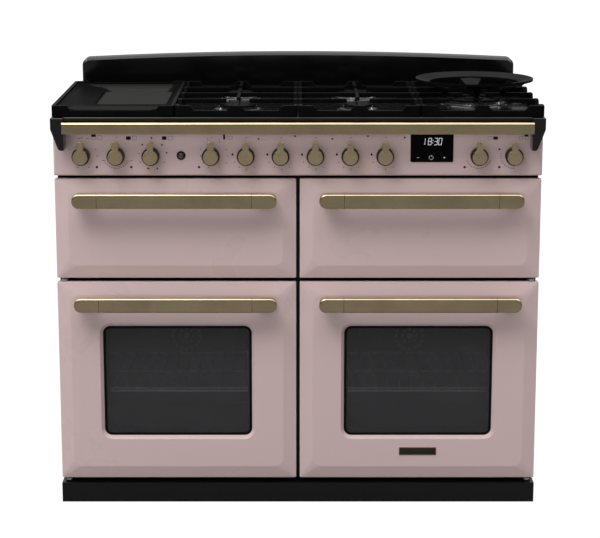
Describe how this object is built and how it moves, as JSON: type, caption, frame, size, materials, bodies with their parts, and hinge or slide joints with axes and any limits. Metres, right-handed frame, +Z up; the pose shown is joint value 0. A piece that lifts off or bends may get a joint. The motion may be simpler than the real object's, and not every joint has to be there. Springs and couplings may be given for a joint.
{
  "type": "dual fuel range cooker",
  "caption": "Freestanding dual fuel range cooker with glazed ovens, drop-down upper doors, gas hob, griddle, wok ring, control knobs and towel rail.",
  "frame": {"origin": "centre of the overall footprint at floor level", "axes": "+X to the right seen from the front, +Y to the back, +Z up"},
  "size_m": [1.092, 0.65, 0.9889],
  "materials": {
    "pink_enamel": "satin enamel",
    "antique_brass": "brushed antique",
    "black_enamel": "gloss enamel",
    "cast_iron": "matt enamel",
    "burner_aluminium": "cast satin",
    "grey_enamel": "speckled enamel",
    "chrome_wire": "polished",
    "window_glass": "tinted",
    "display_black": "gloss",
    "zinc_steel": "zinc plated",
    "seal_rubber": "matt"
  },
  "bodies": {
    "cooker": {"plinth": "black_enamel", "base_frame": "zinc_steel", "levelling_feet": "zinc_steel", "side_panels": "black_enamel", "back_panel": "zinc_steel", "front_frame": "black_enamel", "door_hinges": "black_enamel", "door_seals": "seal_rubber", "oven_liners": "grey_enamel", "upper_oven_liners": "grey_enamel", "fan_covers": "grey_enamel", "fan_motors": "zinc_steel", "heating_elements": "zinc_steel", "shelf_racks": "chrome_wire", "control_panel": "pink_enamel", "display_glass": "display_black", "control_valves": "zinc_steel", "towel_rail": "antique_brass", "rail_brackets": "black_enamel", "hob_top": "black_enamel", "burner_heads": "burner_aluminium", "burner_caps": "cast_iron", "rear_upstand": "black_enamel"},
    "grill_door": {"grill_door_panel": "pink_enamel", "grill_door_inner": "grey_enamel", "grill_door_handle": "antique_brass"},
    "slow_door": {"slow_door_panel": "pink_enamel", "slow_door_inner": "grey_enamel", "slow_door_handle": "antique_brass"},
    "left_door": {"left_door_panel": "pink_enamel", "left_door_glass": "window_glass", "left_door_inner": "grey_enamel", "left_door_handle": "antique_brass"},
    "right_door": {"right_door_panel": "pink_enamel", "right_door_glass": "window_glass", "right_door_inner": "grey_enamel", "right_door_handle": "antique_brass"},
    "knob_1": {"knob_1": "antique_brass"},
    "knob_2": {"knob_2": "antique_brass"},
    "knob_3": {"knob_3": "antique_brass"},
    "knob_4": {"knob_4": "antique_brass"},
    "knob_5": {"knob_5": "antique_brass"},
    "knob_6": {"knob_6": "antique_brass"},
    "knob_7": {"knob_7": "antique_brass"},
    "knob_8": {"knob_8": "antique_brass"},
    "knob_9": {"knob_9": "antique_brass"},
    "knob_10": {"knob_10": "antique_brass"},
    "knob_11": {"knob_11": "antique_brass"},
    "lamp_button": {"lamp_button": "chrome_wire"},
    "griddle_support": {"griddle_support": "cast_iron"},
    "pan_support_left": {"pan_support_left": "cast_iron"},
    "pan_support_right": {"pan_support_right": "cast_iron"},
    "wok_support": {"wok_support": "cast_iron"},
    "griddle_plate": {"griddle_plate": "cast_iron"},
    "wok_ring": {"wok_ring": "cast_iron"},
    "fan_left": {"fan_left": "zinc_steel"},
    "fan_right": {"fan_right": "zinc_steel"},
    "shelf_left": {"shelf_left": "chrome_wire"},
    "shelf_right": {"shelf_right": "chrome_wire"},
    "grill_pan": {"grill_pan": "grey_enamel"}
  },
  "joints": [
    {"name": "grill_door_hinge", "type": "hinge", "parent": "cooker", "child": "grill_door", "pos_m": [-0.275, -0.248, 0.548], "axis": [1, 0, 0], "range_deg": [0, 90]},
    {"name": "slow_door_hinge", "type": "hinge", "parent": "cooker", "child": "slow_door", "pos_m": [0.275, -0.248, 0.548], "axis": [1, 0, 0], "range_deg": [0, 90]},
    {"name": "left_door_hinge", "type": "hinge", "parent": "cooker", "child": "left_door", "pos_m": [-0.53, -0.249, 0.2925], "axis": [0, 0, -1], "range_deg": [0, 100]},
    {"name": "right_door_hinge", "type": "hinge", "parent": "cooker", "child": "right_door", "pos_m": [0.53, -0.249, 0.2925], "axis": [0, 0, 1], "range_deg": [0, 100]},
    {"name": "knob_1_turn", "type": "hinge", "parent": "cooker", "child": "knob_1", "pos_m": [-0.483, -0.3, 0.8155], "axis": [0, -1, 0], "range_deg": [0, 210]},
    {"name": "knob_2_turn", "type": "hinge", "parent": "cooker", "child": "knob_2", "pos_m": [-0.4054, -0.3, 0.8155], "axis": [0, 1, 0], "range_deg": [0, 250]},
    {"name": "knob_3_turn", "type": "hinge", "parent": "cooker", "child": "knob_3", "pos_m": [-0.3278, -0.3, 0.8155], "axis": [0, 1, 0], "range_deg": [0, 250]},
    {"name": "knob_4_turn", "type": "hinge", "parent": "cooker", "child": "knob_4", "pos_m": [-0.194, -0.3, 0.8155], "axis": [0, -1, 0], "range_deg": [0, 210]},
    {"name": "knob_5_turn", "type": "hinge", "parent": "cooker", "child": "knob_5", "pos_m": [-0.1164, -0.3, 0.8155], "axis": [0, -1, 0], "range_deg": [0, 210]},
    {"name": "knob_6_turn", "type": "hinge", "parent": "cooker", "child": "knob_6", "pos_m": [-0.0388, -0.3, 0.8155], "axis": [0, -1, 0], "range_deg": [0, 210]},
    {"name": "knob_7_turn", "type": "hinge", "parent": "cooker", "child": "knob_7", "pos_m": [0.0388, -0.3, 0.8155], "axis": [0, -1, 0], "range_deg": [0, 210]},
    {"name": "knob_8_turn", "type": "hinge", "parent": "cooker", "child": "knob_8", "pos_m": [0.1164, -0.3, 0.8155], "axis": [0, -1, 0], "range_deg": [0, 210]},
    {"name": "knob_9_turn", "type": "hinge", "parent": "cooker", "child": "knob_9", "pos_m": [0.194, -0.3, 0.8155], "axis": [0, -1, 0], "range_deg": [0, 210]},
    {"name": "knob_10_turn", "type": "hinge", "parent": "cooker", "child": "knob_10", "pos_m": [0.4034, -0.3, 0.8155], "axis": [0, -1, 0], "range_deg": [0, 210]},
    {"name": "knob_11_turn", "type": "hinge", "parent": "cooker", "child": "knob_11", "pos_m": [0.481, -0.3, 0.8155], "axis": [0, 1, 0], "range_deg": [0, 250]},
    {"name": "lamp_button_press", "type": "slide", "parent": "cooker", "child": "lamp_button", "axis": [0, 1, 0], "range_m": [0, 0.003], "stiffness_N_per_m": 400, "springref_m": -0.001},
    {"name": "griddle_support_lift", "type": "slide", "parent": "cooker", "child": "griddle_support", "axis": [0, 0, 1], "range_m": [0, 0.06]},
    {"name": "pan_support_left_lift", "type": "slide", "parent": "cooker", "child": "pan_support_left", "axis": [0, 0, 1], "range_m": [0, 0.06]},
    {"name": "pan_support_right_lift", "type": "slide", "parent": "cooker", "child": "pan_support_right", "axis": [0, 0, 1], "range_m": [0, 0.06]},
    {"name": "wok_support_lift", "type": "slide", "parent": "cooker", "child": "wok_support", "axis": [0, 0, 1], "range_m": [0, 0.06]},
    {"name": "griddle_plate_lift", "type": "slide", "parent": "griddle_support", "child": "griddle_plate", "axis": [0, 0, 1], "range_m": [0, 0.06]},
    {"name": "wok_ring_lift", "type": "slide", "parent": "wok_support", "child": "wok_ring", "axis": [0, 0, 1], "range_m": [0, 0.06]},
    {"name": "fan_left_spin", "type": "hinge", "parent": "cooker", "child": "fan_left", "pos_m": [-0.28, 0.2, 0.29], "axis": [0, 1, 0], "continuous": true},
    {"name": "fan_right_spin", "type": "hinge", "parent": "cooker", "child": "fan_right", "pos_m": [0.28, 0.2, 0.29], "axis": [0, 1, 0], "continuous": true},
    {"name": "shelf_left_slide", "type": "slide", "parent": "cooker", "child": "shelf_left", "axis": [0, -1, 0], "range_m": [0, 0.025]},
    {"name": "shelf_right_slide", "type": "slide", "parent": "cooker", "child": "shelf_right", "axis": [0, -1, 0], "range_m": [0, 0.025]},
    {"name": "grill_pan_slide", "type": "slide", "parent": "cooker", "child": "grill_pan", "axis": [0, -1, 0], "range_m": [0, 0.025]}
  ]
}
